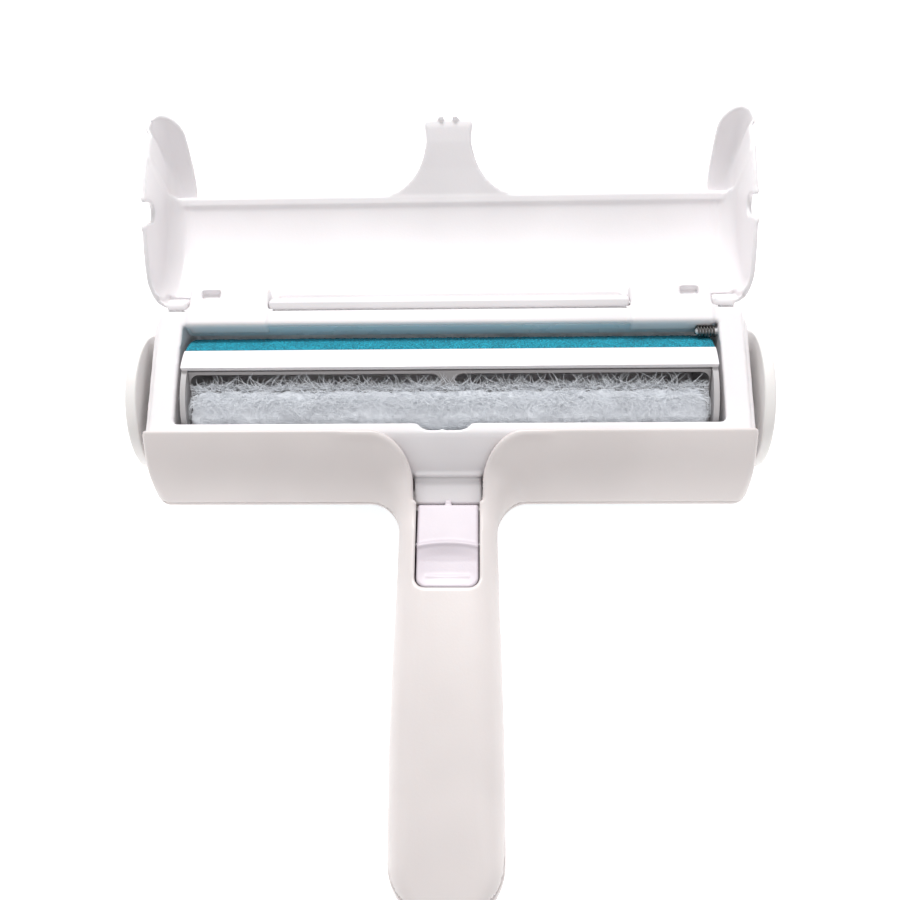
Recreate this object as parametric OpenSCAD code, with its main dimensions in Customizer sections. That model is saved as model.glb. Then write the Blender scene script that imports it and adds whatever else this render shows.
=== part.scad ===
// Reusable two-way lint roller: a T-shaped body with a swinging fabric drum and a lid that folds back.
// Lengths in millimetres. X runs along the drum, +Y points away from the handle, +Z is up.
// Shapes are drawn about the drum axis, and place() sets them on the floor.

/* [Overall] */
// Overall width over the outer faces of the two end discs
overall_w = 190; // [184:1:200]
// Distance from the drum axis to the tip of the handle
handle_reach = 150; // [140:1:160]
// Angle that the lid is drawn at, where 0 is shut
lid_open = 180; // [0:5:180]

/* [Drum] */
// Radius of the end discs that roll on the fabric
disc_r = 21; // [20.6:0.1:21.3]
// Thickness of an end disc at its rim
disc_t = 3.4; // [2.8:0.1:3.4]
// Outer radius of the fabric pads
pad_r = 19.5; // [19.2:0.1:19.6]
// Thickness of the fabric pads
pad_t = 1.5; // [1.2:0.1:1.8]
// Angle of the pocket's middle from straight up, towards the lid hinge
pocket_tilt = -30; // [-30:1:0]
// Half of the angle that the pocket is open over
pocket_half = 36.5; // [30:0.5:38]
// Angle that each rail spans
rail_span = 20.5; // [16:0.5:22]
// Half of the angle that the lower divider spans
divider_half = 7; // [5:0.5:9]

/* [Frame] */
// Half width of the window into the dust chamber
window_half = 80.75; // [80.5:0.05:81]
// Half width of the chamber frame
frame_half = 88.2; // [87.8:0.1:88.2]
// Inner radius of the arch over the drum
arch_r = 21.3; // [21:0.1:21.5]

/* [Lid] */
// Outer radius of the lid's curved panel
lid_r = 32.6; // [32.4:0.1:32.8]
// Wall thickness of the lid
lid_t = 1.8; // [1.6:0.1:1.8]
// Half width of the lid over its ears
lid_half = 91.4; // [91.4:0.05:91.5]
// Half width of the lid's tongue
tongue_half = 7.7; // [7:0.1:8]

/* [Handle] */
// Half width of the grip at its neck
neck_half = 14.7; // [14:0.1:15.5]
// Half width of the grip at its widest
grip_half = 16.3; // [15.5:0.1:17]
// Wall thickness of the handle shells
wall = 2; // [1.8:0.1:2.2]
// Half width of the release button
button_half = 9; // [8.5:0.1:9]

/* [Hidden] */
$fn = 96;
mid_y = -(handle_reach - 83) / 2; // middle of the whole length, lid open
axis_z = disc_r;
disc_face = overall_w / 2;
disc_back = disc_face - disc_t;
drum_half = window_half - 1.45;
shell_r = pad_r - pad_t;
shell_t = 1.8;
axle_r = 2.5;
hinge = [24.4, 15.7];
hinge_pin_r = 1.25;
knuckle_r = 2.8;
block_in = 54.9; // hinge blocks of the frame
block_out = 79.3;
lid_c = [4.5, -8]; // centre of the lid's curve
ear_c = [-18, 46]; // centre of the curve of the ears' lower edge
ear_r = 54;
shoulder_c = [16.4, -25.2]; // centre of the shoulder's curve
shoulder_r = 53.3;
shoulder_half = 89.9;
lip_y = -16.5; // top edge of the shoulders
lid_edge_y = lip_y + 0.3;
floor_z = -9; // underside of the shoulders
front_r = 7; // rounding along the bottom of the shoulders
split_z = -4; // where the two handle shells meet at the neck
valley_half = 23.3; // half width of the valley at the lip
valley_r = 13;
slot_half = 10.3; // half width of the valley beside the button
button_y = [-60, -34.3];
pivot = [-46, -3];
button_pin_r = 1;
far_wall_y = 23.4;
far_corner_r = 8;
rim_t = 2;
ear_t = 1.4; // the ears and their horns pass outside the shoulders and inside the discs
horn_half = 82; // the horns reach this far in over the shoulders
drum_tilt = pocket_tilt;
rail_from = pocket_half;
pad_from = pocket_half + rail_span;
pad_to = 180 - divider_half;

// ---- helpers ----

// Puts a shape drawn about the drum axis on the floor, with the origin under the middle
module place() translate([0, -mid_y, axis_z]) children();

// Extrudes a Y-Z outline along X
module along_x(x0, x1) translate([x0, 0, 0]) rotate([90, 0, 90]) linear_extrude(x1 - x0) children();

// Both ends: the shape and its mirror image
module both_ends() {
    children();
    mirror([1, 0, 0]) children();
}

// A cylinder along X about the point c = [y, z]
module rod_x(r, x0, x1, c = [0, 0]) translate([x0, c[0], c[1]]) rotate([0, 90, 0]) cylinder(r = r, h = x1 - x0);

// A box from its limits
module block(x, y, z) translate([x[0], y[0], z[0]]) cube([x[1] - x[0], y[1] - y[0], z[1] - z[0]]);

// Points of an arc about c, from angle a0 to a1 counted from +Y towards +Z
function arc(c, r, a0, a1, n = 12) = [for (i = [0:n]) let (a = a0 + (a1 - a0) * i / n) [c[0] + r * cos(a), c[1] + r * sin(a)]];

// Angle on a circle about c of radius r at which its upper or near half has the given y
function angle_at(c, r, y) = acos((y - c[0]) / r);

// Outline of a ring sector, with angles counted from straight up towards the hinge
module sector(r0, r1, from, to, n = 40) polygon(concat(arc([0, 0], r1, 90 - from, 90 - to, n), arc([0, 0], r0, 90 - to, 90 - from, n)));

// Turns a drum piece from its own upright pose to the rest pose
module in_drum() place() rotate([-drum_tilt, 0, 0]) children();

// Turns a lid piece from shut to open
module in_lid() place() translate([0, hinge[0], hinge[1]]) rotate([-lid_open, 0, 0]) translate([0, -hinge[0], -hinge[1]]) children();

// A wire helix along Z about the origin
module coil(r, wire, length, turns, sides = 8, steps = 14) {
    n = round(turns * steps);
    points = [for (i = [0:n]) let (a = 360 * i / steps, z = length * i / n)
        for (k = [0:sides - 1]) let (b = 360 * k / sides)
            [(r + wire * cos(b)) * cos(a), (r + wire * cos(b)) * sin(a), z + wire * sin(b)]];
    sides_of = [for (i = [0:n - 1]) for (k = [0:sides - 1]) let (a = i * sides + k, b = i * sides + (k + 1) % sides)
        [a, a + sides, b + sides, b]];
    ends = [[for (k = [0:sides - 1]) k], [for (k = [0:sides - 1]) (n + 1) * sides - 1 - k]];
    polyhedron(points, concat(sides_of, ends), convexity = 10);
}

// ---- handle ----

function grip_top(y) = -194.5 + sqrt(200 * 200 - pow(y + 66, 2));
function grip_bottom(y) = y < -125 ? -21 : 339 - sqrt(360 * 360 - pow(y + 125, 2));
function grip_width(y) = neck_half + (grip_half - neck_half) * min(1, max(0, -45 - y) / 60);
grip_start = -24;
grip_tilt = 5.9; // droop of the grip's middle line
end_r = 10; // rounding of the grip's end, seen from the side

// Plan of the grip, shrunk by inset
module grip_plan(inset) {
    r = grip_half - inset;
    side = [for (y = [grip_start - inset, -45, -75, -105]) [grip_width(y) - inset, y]];
    polygon(concat(side, arc([0, grip_half - handle_reach], r, 0, -180, 20), [for (i = [3:-1:0]) [-side[i][0], side[i][1]]]));
}

// Side view of the grip, shrunk by inset
module grip_side(inset) {
    ys = [for (i = [0:12]) grip_start - inset + (end_r - handle_reach - grip_start + inset) * i / 12];
    tip = [end_r - handle_reach, (grip_top(end_r - handle_reach) + grip_bottom(end_r - handle_reach)) / 2];
    half = (grip_top(tip[0]) - grip_bottom(tip[0])) / 2 - inset;
    polygon(concat([for (y = ys) [y, grip_top(y) - inset]],
        [for (a = [15:15:165]) [tip[0] - (end_r - inset) * sin(a), tip[1] + half * cos(a)]],
        [for (i = [12:-1:0]) [ys[i], grip_bottom(ys[i]) + inset]]));
}

// Rounded section of the grip, shrunk by inset
module grip_section(inset) {
    w = grip_half + 0.1 - inset;
    h = 12 - inset;
    power = 2 / 2.7;
    polygon([for (i = [0:27]) let (c = cos((i + 0.5) * 360 / 28), s = sin((i + 0.5) * 360 / 28))
        [w * sign(c) * pow(abs(c), power), h * sign(s) * pow(abs(s), power)]]);
}

// The grip as a solid, shrunk by inset
module grip(inset) intersection() {
    translate([0, 0, -40]) linear_extrude(60) grip_plan(inset);
    along_x(-30, 30) grip_side(inset);
    translate([0, -45, -3.8]) rotate([90 + grip_tilt, 0, 0]) translate([0, 0, -40]) linear_extrude(180) grip_section(inset);
}

// Profile of the shoulders, shrunk by inset on its outside and open towards the frame
module shoulder_profile(inset) {
    r = shoulder_r - inset;
    top = angle_at(shoulder_c, r, lip_y);
    low = angle_at(shoulder_c, r, -32.1 + inset * 0.9);
    start = [shoulder_c[0] + r * cos(low), shoulder_c[1] + r * sin(low)];
    rounding = front_r - inset;
    turn = [start[0] - rounding * cos(low), start[1] - rounding * sin(low)];
    polygon(concat(
        arc(shoulder_c, r, top, low, 10),
        arc(turn, rounding, low, 200, 4),
        [[turn[0] - 3, floor_z + inset], [-sqrt(23 * 23 - floor_z * floor_z) + inset, floor_z + inset]],
        arc([0, 0], 23 - inset, 180 + asin(-floor_z / 23), 154, 6)
    ));
}

// Plan of the valley between the shoulders, which runs on round the button
module valley_plan() {
    corner = [valley_half, lip_y - valley_r];
    right = arc(corner, valley_r, 90, 180, 12);
    polygon(concat([[valley_half, 0]], right, [[slot_half, button_y[1] + 0.5], [-slot_half, button_y[1] + 0.5]],
        [for (i = [12:-1:0]) [-right[i][0], right[i][1]]], [[-valley_half, 0]]));
}

// Fillets between the shoulders and the grip
module neck_fillets(z0, z1) both_ends() translate([0, 0, z0]) linear_extrude(z1 - z0) difference() {
    translate([8, -41.6]) square([16.2, 13.6]);
    translate([24.2, -41.6]) circle(9.9);
}

// Everything above the joint line of the two shells, or below it
module above_split(up) {
    line = [[10, split_z], [-45, split_z], [-handle_reach - 5, -13]];
    far = up ? 60 : -60;
    along_x(-100, 100) polygon(concat(line, [[-handle_reach - 5, far], [10, far]]));
}

module shells_outer() {
    along_x(-shoulder_half, shoulder_half) shoulder_profile(0);
    grip(0);
    neck_fillets(floor_z + 0.3, 1);
}

module shells_inner() {
    along_x(-shoulder_half + wall, shoulder_half - wall) shoulder_profile(wall);
    grip(wall);
}

screw_y = [-76, -122]; // screws that join the two shells
boss_y = -25.5; // screws that hold the chamber frame
boss_x = [-60, 60];

module handle_top_shell() color("#f1eae6") place() {
    $fn = 40;
    difference() {
        intersection() {
            shells_outer();
            above_split(true);
        }
        shells_inner();
        translate([0, 0, -20]) linear_extrude(60) valley_plan();
        block([-button_half - 0.5, button_half + 0.5], [button_y[0] - 0.6, button_y[1] + 2], [-20, 30]);
    }
    for (y = screw_y) translate([0, y, -8]) difference() {
        cylinder(r = 3.4, h = grip_top(y) + 6.6);
        translate([0, 0, -1]) cylinder(r = 1.5, h = 10);
    }
}

module handle_bottom_shell() color("#efe7e3") place() difference() {
    $fn = 40;
    union() {
        difference() {
            intersection() {
                shells_outer();
                above_split(false);
            }
            shells_inner();
        }
        for (y = screw_y) translate([0, y, grip_bottom(y) + 1]) cylinder(r = 4, h = -8.3 - grip_bottom(y) - 1);
        for (x = boss_x) translate([x, boss_y, floor_z + 1]) cylinder(r = 3.4, h = 1.8);
    }
    for (y = screw_y) translate([0, y, -30]) {
        cylinder(r = 1.7, h = 30);
        cylinder(r = 3.2, h = grip_bottom(y) + 30 + 3);
    }
    for (x = boss_x) translate([x, boss_y, -15]) {
        cylinder(r = 1.5, h = 12);
        cylinder(r = 2.7, h = 7.2);
    }
}

// ---- chamber frame ----

rim_near = [-13.6, 15.3];
rim_far = [17.4, 18.2];

// Height of the rim's top at y
function rim_top(y) = rim_near[1] + (rim_far[1] - rim_near[1]) * (y - rim_near[0]) / (rim_far[0] - rim_near[0]);

// Outline of the frame seen from its end
module frame_profile() polygon(concat(
    arc([0, 0], 22.8, 180 + asin(8.5 / 22.8), 154, 10),
    [[-16.7, 13.8], [-16.6, 14.2], [-15.2, rim_top(-15.2)], [rim_far[0], rim_far[1]], [21, 17.9], [far_wall_y, 16], [far_wall_y, 4]],
    arc([0, 0], 23.7, 9, -asin(8.5 / 23.7), 6)
));

// The space that the drum turns in, and the wipers hang in
module drum_space(x0, x1) {
    along_x(x0, x1) polygon([[-18.4, 0], [-18.4, rim_top(-18.4) - rim_t], [18.4, rim_top(18.4) - rim_t], [18.4, 0]]);
    intersection() {
        rod_x(arch_r, x0, x1);
        block([x0, x1], [-30, 30], [-30, 10.7]);
    }
}

module frame_plan() {
    corner = [frame_half - far_corner_r, far_wall_y + 0.3 - far_corner_r];
    right = arc(corner, far_corner_r, 0, 90, 10);
    polygon(concat([[frame_half, -30]], right, [for (i = [10:-1:0]) [-right[i][0], right[i][1]]], [[-frame_half, -30]]));
}

// A hinge block with its pin hole and its small window
module hinge_block() difference() {
    union() {
        block([block_in, block_out], [18, hinge[0]], [12.6, 18.9]);
        intersection() {
            rod_x(6, block_in, block_out, hinge);
            block([block_in, block_out], [hinge[0], 31], [12.6, 18.9]);
        }
    }
    block([70, 75.5], [26.3, 29], [16.9, 20]);
}

module chamber_frame() color("#f6f1f0") place() {
    difference() {
        union() {
            intersection() {
                along_x(-frame_half, frame_half) frame_profile();
                translate([0, 0, -10]) linear_extrude(40) frame_plan();
            }
            both_ends() hinge_block();
            // valley floor under the lid's tongue
            intersection() {
                rod_x(51, -24.5, 24.5, shoulder_c);
                block([-24.5, 24.5], [-28.6, -16], [-4, 16]);
                difference() {
                    block([-30, 30], [-40, 0], [-20, 20]);
                    rod_x(49.2, -30, 30, shoulder_c);
                    rod_x(arch_r, -30, 30);
                }
            }
            intersection() {
                for (x = boss_x) translate([x, boss_y, -6.1]) cylinder(r = 3.2, h = 9);
                rod_x(shoulder_r - wall - 0.3, -70, 70, shoulder_c);
            }
        }
        drum_space(-window_half, window_half);
        rod_x(pad_r + 0.4, -window_half, window_half);
        both_ends() drum_space(window_half + 1.7, frame_half - 1.8);
        block([-window_half, window_half], [rim_near[0], rim_far[0]], [5, 30]);
        // finger notch in the near rim
        translate([-0.8, 0, 5]) linear_extrude(20) polygon([[-8.7, -13], [-5.2, -16.2], [5.2, -16.2], [8.7, -13]]);
        rod_x(knuckle_r + 0.4, -block_in, block_in, hinge);
        both_ends() rod_x(knuckle_r + 0.4, block_out, 95, hinge);
        both_ends() rod_x(hinge_pin_r, block_in - 5, block_out + 5, hinge);
        both_ends() rod_x(4.2, window_half - 2, frame_half + 2);
        for (x = boss_x) translate([x, boss_y, -7]) cylinder(r = 1.2, h = 8.5);
    }
    // post that carries the lid spring
    rod_x(1, window_half - 6.5, window_half, [15.4, 15.1]);
}

module hinge_pins() color("#b9bcc0") place() both_ends() rod_x(hinge_pin_r, 50, 84, hinge);

module lid_spring() color("#4a4744") place() translate([window_half - 6.2, 15.4, 15.1]) rotate([0, 90, 0]) coil(1.5, 0.3, 5.4, 6);

module wiper(y0, top) along_x(-window_half + 0.5, window_half - 0.5) polygon([[y0, 10.8], [y0 + 0.5, 10.4], [y0 + 0.9, 10.7], [y0 + 0.9, top], [y0, top]]);

module wiper_strip_far() color("#dfe9ef") place() wiper(17.45, rim_top(17.4) - rim_t);

module wiper_strip_near() color("#dfe9ef") place() mirror([0, 1, 0]) wiper(17.45, rim_top(-18.4) - rim_t);

// Bush that carries an axle in both end walls
module bush() difference() {
    rod_x(4.2, window_half, frame_half);
    rod_x(axle_r + 0.05, window_half - 1, frame_half + 1);
}

module bush_right() color("#d9d4cf") place() bush();
module bush_left() color("#d9d4cf") place() mirror([1, 0, 0]) bush();

// ---- screws ----

// A pan-head screw with a cross recess, head down, its head's underside at the origin
module screw(head_r, head_h, shank_r, length) {
    cylinder(r = shank_r, h = length);
    difference() {
        translate([0, 0, -head_h]) cylinder(r = head_r, h = head_h);
        for (a = [0, 90]) rotate([0, 0, a]) translate([-head_r * 0.6, -0.35, -head_h - 1]) cube([head_r * 1.2, 0.7, 1.9]);
    }
}

module handle_screws() color("#8d9094") place() for (y = screw_y) translate([0, y, grip_bottom(y) + 3]) screw(2.8, 1.8, 1.4, 13);

module frame_screws() color("#8d9094") place() for (x = boss_x) translate([x, boss_y, -7.8]) screw(2.4, 1.1, 1.15, 8.4);

// ---- release button ----

button_line = [0.6, 2.8]; // height of the button's top at its upper and lower edges

module release_button() color("#efe9f4") place() difference() {
    union() {
        along_x(-button_half, button_half) polygon([
            [button_y[1], button_line[0]], [-47, 2.2], [-52, 1.9], [button_y[0], button_line[1]],
            [button_y[0], button_line[1] - 2.4], [-52, 0], [-47, 0.2], [button_y[1], button_line[0] - 2]]);
        both_ends() block([button_half - 1.6, button_half], [button_y[0] + 0.1, button_y[1] - 0.1], [-1.6, 1]);
        rod_x(2.3, -button_half, button_half, pivot);
        block([-button_half, button_half], [pivot[0] - 1.5, pivot[0] + 1.5], [pivot[1], 1]);
        // catch that holds the tongue's hook
        block([-0.9, 0.9], [button_y[1] - 1, button_y[1] + 1.2], [-1.3, -0.6]);
        translate([0, -56, -0.2]) cylinder(r = 1.6, h = 1);
    }
    rod_x(button_pin_r + 0.05, -20, 20, pivot);
}

module button_pin() color("#b9bcc0") place() rod_x(button_pin_r, -11.9, 11.9, pivot);

spring_low = -8.2;

module button_spring() color("#9a9ca0") place() translate([0, -56, spring_low + 0.3]) coil(2.2, 0.28, 7.3, 5);

// Tray in the neck that holds the button's pin and spring and takes the lid's hook
module button_cradle() color("#cfc8c5") place() difference() {
    block([-12, 12], [-64, -29.5], [-10.2, -1.2]);
    block([-9.7, 9.7], [-62.5, -35.2], [spring_low, 5]);
    block([-8.6, 8.6], [-34, -31], [-7, 5]);
    rod_x(button_pin_r, -20, 20, pivot);
    block([-9.7, 9.7], [-36, -31], [-2.6, 5]);
    intersection() {
        block([-20, 20], [-70, -20], [-20, 5]);
        translate([0, 0, -1.9]) along_x(-20, 20) polygon(concat([for (y = [-65:5:-25]) [y, grip_bottom(y) + wall + 2.4]],
            [[-20, -40], [-70, -40]]));
    }
}

// ---- lid ----

// Plan of the lid, shrunk by side at the ears and by far at the hinge
module lid_plan(side, far) {
    r = 9 - side;
    corner = [lid_half - 9, 27.2 - far - r];
    right = arc(corner, r, 0, 90, 10);
    polygon(concat([[lid_half - side, -60]], right, [for (i = [10:-1:0]) [-right[i][0], right[i][1]]], [[-lid_half + side, -60]]));
}

// Plan of the tongue with its flared root
module tongue_plan() {
    flare = 15;
    right = arc([tongue_half + flare, lid_edge_y - flare], flare, 90, 180, 12);
    polygon(concat([[tongue_half + flare, lid_edge_y + 1.5]], right, [[tongue_half, -34], [-tongue_half, -34]],
        [for (i = [12:-1:0]) [-right[i][0], right[i][1]]], [[-tongue_half - flare, lid_edge_y + 1.5]]));
}

tongue_line = [[-14.4, 18.3], [-16.2, 17], [-22, 11.9], [-28, 6.3], [-31, 4], [-34, 2.8]];

module tongue() intersection() {
    along_x(-30, 30) polygon(concat(tongue_line, [for (i = [len(tongue_line) - 1:-1:0]) tongue_line[i] - [0, lid_t + 0.4]]));
    translate([0, 0, -10]) linear_extrude(40) tongue_plan();
}

// Horn that wraps round the end of a shoulder
module horn() {
    difference() {
        intersection() {
            rod_x(shoulder_r + 1.9, horn_half, lid_half, shoulder_c);
            rod_x(ear_r, horn_half, lid_half, ear_c);
            block([horn_half, lid_half], [-36, lid_edge_y + 3], [-12, 22]);
        }
        rod_x(shoulder_r + 0.4, horn_half - 1, lid_half - ear_t, shoulder_c);
        // lower edge of the wrap, above the rounding of the shoulder
        block([horn_half - 1, lid_half - ear_t], [-40, 0], [-12, -3.4]);
    }
    // joins the horn to the panel
    along_x(horn_half, lid_half - ear_t / 2) polygon([[-13.4, 17.4], [-13.4, 19.6], [-16.4, 18.9], [-16.4, 17.3], [-16, 15.8]]);
}

module lid_shell() color("#f7f1f3") in_lid() difference() {
    union() {
        difference() {
            intersection() {
                rod_x(lid_r, -95, 95, lid_c);
                rod_x(ear_r, -95, 95, ear_c);
                translate([0, 0, -20]) linear_extrude(60) lid_plan(0, 0);
                block([-95, 95], [lid_edge_y, 30], [-20, 40]);
            }
            intersection() {
                rod_x(lid_r - lid_t, -95, 95, lid_c);
                translate([0, 0, -20]) linear_extrude(60) lid_plan(ear_t, lid_t);
            }
            both_ends() block([block_in - 0.2, block_out + 0.2], [18.6, 40], [-20, 40]);
            rod_x(21.5, -84, 84);
        }
        rod_x(knuckle_r, -block_in + 0.4, block_in - 0.4, hinge);
        both_ends() rod_x(knuckle_r, block_out + 0.4, 86, hinge);
        tongue();
        // hook under the tongue's tip
        both_ends() block([1.3, 3.2], [-33.6, -32.2], [-1.2, 3]);
        both_ends() block([1.3, 3.2], [-34, -32.2], [-1.2, -0.4]);
        both_ends() horn();
    }
    both_ends() rod_x(hinge_pin_r + 0.05, 49.5, 84.5, hinge);
    // notches that pass over the axles
    both_ends() along_x(lid_half - 4, 95) polygon(concat(arc(hinge, 25.5, 205, 240, 8), arc(hinge, 32.5, 240, 205, 8)));
}

// ---- drum ----

module drum_shell() color("#f3efee") in_drum() along_x(-drum_half + 1.6, drum_half - 1.6) sector(shell_r - shell_t, shell_r, pocket_half + 4, 356 - pocket_half, 60);

// Round end plate of the drum with the hub that holds an axle
module drum_end() difference() {
    union() {
        rod_x(shell_r, drum_half - 1.6, drum_half);
        rod_x(5, drum_half - 8, drum_half - 1.6);
    }
    rod_x(axle_r, drum_half - 9, drum_half + 1);
}

module drum_end_right() color("#b9b3b4") in_drum() drum_end();
module drum_end_left() color("#b9b3b4") in_drum() mirror([1, 0, 0]) drum_end();

web_top = shell_r - 0.6;
web_floor = [0, 11.3];

// V-shaped tray across the drum, with two long slots in each side
module drum_web() color("#b9b3b4") in_drum() {
    web_t = 1.2;
    edge = [web_top * sin(pocket_half - 0.6), web_top * cos(pocket_half - 0.6)];
    run = norm(edge - web_floor);
    lean = atan2(edge[1] - web_floor[1], edge[0] - web_floor[0]);
    under = web_t * [sin(lean), -cos(lean)];
    difference() {
        along_x(-drum_half + 1.8, drum_half - 1.8) polygon([edge, web_floor, [-edge[0], edge[1]],
            [-edge[0] - under[0], edge[1] + under[1]], [0, web_floor[1] - web_t / cos(lean)], edge + under]);
        for (flip = [0, 1]) mirror([0, flip, 0]) translate([0, web_floor[0], web_floor[1]]) rotate([lean, 0, 0])
            for (side = [-1, 1]) translate([side * drum_half / 2, run - 3.6, -2]) long_slot(drum_half - 4.1, 5.4, 3);
    }
}

// A stadium-shaped slot along X
module long_slot(length, w, h) {
    translate([-length / 2 + w / 2, -w / 2, 0]) cube([length - w, w, h]);
    for (side = [-1, 1]) translate([side * (length - w) / 2, 0, 0]) cylinder(r = w / 2, h = h);
}

// Rail that clamps the edge of a pad beside the pocket
module rail() along_x(-drum_half, drum_half) sector(shell_r, pad_r + 0.1, rail_from, pad_from - 0.15, 10);

module rail_far() color("#f6f3f2") in_drum() rail();
module rail_near() color("#f6f3f2") in_drum() mirror([0, 1, 0]) rail();

module lint_pad() along_x(-drum_half, drum_half) sector(shell_r, pad_r, pad_from, pad_to - 0.15, 48);

module lint_pad_far() color("#1597b3") in_drum() lint_pad();
module lint_pad_near() color("#1597b3") in_drum() mirror([0, 1, 0]) lint_pad();

module divider_strip() color("#f6f3f2") in_drum() along_x(-drum_half, drum_half) sector(shell_r, pad_r + 0.1, 180 - divider_half + 0.15, 180 + divider_half - 0.15, 8);

module axle() rod_x(axle_r, drum_half - 7.8, disc_face - 1);

module axle_right() color("#b9bcc0") in_drum() axle();
module axle_left() color("#b9bcc0") in_drum() mirror([1, 0, 0]) axle();

// End disc with a rounded rim, a shallow dish and a hub over the axle
module end_disc() difference() {
    translate([disc_back, 0, 0]) rotate([0, 90, 0]) rotate_extrude() polygon([
        [0, 0], [disc_r - 0.5, 0], [disc_r, 0.5], [disc_r, disc_t - 1.1], [disc_r - 0.35, disc_t - 0.35],
        [disc_r - 1.1, disc_t], [15.5, disc_t], [15, disc_t - 0.5], [7, disc_t - 0.5], [6.5, disc_t], [0, disc_t]]);
    rod_x(axle_r, disc_back - 1, disc_face - 1);
}

module end_disc_right() color("#e6e4dc") in_drum() end_disc();
module end_disc_left() color("#e6e4dc") in_drum() mirror([1, 0, 0]) end_disc();

// Gathered hair, lying in the pocket as a soft lump
module hair_wad() color("#e6ebf2") in_drum() along_x(-drum_half + 2.5, drum_half - 2.5) polygon([
        [0, 11.6], [5.4, 13.05], [4, 14.9], [0.7, 17], [-3.6, 17.9], [-6.9, 16.9], [-9, 14.2]]);

handle_top_shell();
handle_bottom_shell();
chamber_frame();
button_cradle();
hinge_pins();
lid_spring();
wiper_strip_far();
wiper_strip_near();
bush_left();
bush_right();
handle_screws();
frame_screws();
button_pin();
button_spring();
release_button();
lid_shell();
drum_shell();
drum_end_left();
drum_end_right();
drum_web();
rail_far();
rail_near();
lint_pad_far();
lint_pad_near();
divider_strip();
axle_left();
axle_right();
end_disc_left();
end_disc_right();
hair_wad();
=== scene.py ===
"""Builds the looks of a two-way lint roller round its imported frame.

Shapes are worked out in millimetres about the drum axis: X along the drum, Y towards the lid hinge, Z up.
Moulded parts are fields, negative inside the plastic, that moulded() turns into a mesh.
"""

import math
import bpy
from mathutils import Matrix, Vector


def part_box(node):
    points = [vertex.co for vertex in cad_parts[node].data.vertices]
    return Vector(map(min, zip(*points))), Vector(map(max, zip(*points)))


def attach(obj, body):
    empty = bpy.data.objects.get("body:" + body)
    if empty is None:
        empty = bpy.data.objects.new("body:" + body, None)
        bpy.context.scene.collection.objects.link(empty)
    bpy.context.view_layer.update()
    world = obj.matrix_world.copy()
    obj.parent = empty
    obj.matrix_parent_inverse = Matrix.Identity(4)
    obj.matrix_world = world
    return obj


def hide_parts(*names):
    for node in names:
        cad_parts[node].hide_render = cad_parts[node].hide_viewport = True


bl_info = {
    "name": "Lint roller",
    "version": (1, 0, 0),
    "blender": (4, 5, 0),
    "location": "View3D > Sidebar > Lint roller",
    "description": "Builds a lint roller with an open lid, fabric drum pads and gathered hair",
    "category": "Object",
}

import bpy
import numpy as np
from bpy.props import FloatProperty, FloatVectorProperty, IntProperty, PointerProperty
from bpy.types import Operator, Panel, PropertyGroup
from mathutils import Matrix, Vector

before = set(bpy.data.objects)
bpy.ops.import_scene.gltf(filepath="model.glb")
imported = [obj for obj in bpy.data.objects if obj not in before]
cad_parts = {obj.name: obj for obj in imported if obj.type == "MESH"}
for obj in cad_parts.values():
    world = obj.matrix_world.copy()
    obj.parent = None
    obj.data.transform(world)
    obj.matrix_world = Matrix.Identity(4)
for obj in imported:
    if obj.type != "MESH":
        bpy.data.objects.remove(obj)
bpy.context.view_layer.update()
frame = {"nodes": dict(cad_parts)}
MM = 0.001

disc_low, disc_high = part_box("end_disc_right")
AXIS = (disc_low + disc_high) / 2  # the drum axis crosses Y and Z here
AXIS.x = 0
DISC_R = (disc_high.z - disc_low.z) / 2 / MM
DISC_FACE = disc_high.x / MM
DISC_T = (disc_high.x - disc_low.x) / MM
DRUM_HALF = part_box("lint_pad_far")[1].x / MM


# ---- sizes and colours ----


def length(name, description, default, low, high):
    """A size in millimetres."""
    return FloatProperty(
        name=name, description=description, default=default, min=low, max=high, subtype="DISTANCE"
    )


def colour(name, description, default):
    """A linear colour."""
    return FloatVectorProperty(
        name=name, description=description, default=default, size=3, min=0, max=1, subtype="COLOR"
    )


class RollerSizes(PropertyGroup):
    """Sizes that a user would change, in millimetres."""

    wall: length("Shell wall", "Wall of the handle shells", 2.0, 1.6, 2.4)
    lid_wall: length("Lid wall", "Wall of the lid", 1.8, 1.5, 1.9)
    mesh_step: length("Mesh step", "Spacing of the moulded meshes", 0.72, 0.5, 1.5)
    nap: length("Nap", "Depth of the pads' nap", 0.22, 0.05, 0.4)
    hair_count: IntProperty(
        name="Hairs", description="Loose hairs on the gathered lump", default=6000, min=200, max=9000
    )
    hair_r: length("Hair radius", "Radius of a loose hair", 0.06, 0.02, 0.1)


class RollerColours(PropertyGroup):
    """Base colours of the finishes."""

    body: colour("Body", "Handle shells", (0.755, 0.70, 0.69))
    frame: colour("Frame", "Chamber frame and lid", (0.86, 0.83, 0.845))
    button: colour("Button", "Release button", (0.68, 0.62, 0.67))
    disc: colour("Discs", "End discs", (0.84, 0.815, 0.80))
    pad: colour("Pads", "Fabric pads", (0.004, 0.29, 0.40))
    hair: colour("Hair", "Gathered hair", (0.975, 0.985, 1.0))


# ---- shapes as fields ----


def both(a, b, r=0.0):
    """Where both fields are inside, with the edge between them rounded to r."""
    a, b = a + r, b + r
    return np.minimum(np.maximum(a, b), 0) + np.hypot(np.maximum(a, 0), np.maximum(b, 0)) - r


def either(a, b, r=0.0):
    """Where either field is inside, with a fillet of radius r between them."""
    return -both(-a, -b, r)


def without(a, b, r=0.0):
    """The first field with the second cut out of it."""
    return both(a, -b, r)


def round_rod(y, z, centre, r):
    """A rod along X."""
    return np.hypot(y - centre[0], z - centre[1]) - r


def post(x, y, centre, r):
    """A post along Z."""
    return np.hypot(x - centre[0], y - centre[1]) - r


def slab(v, low, high):
    """Between two parallel planes."""
    return np.abs(v - (low + high) / 2) - (high - low) / 2


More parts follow.
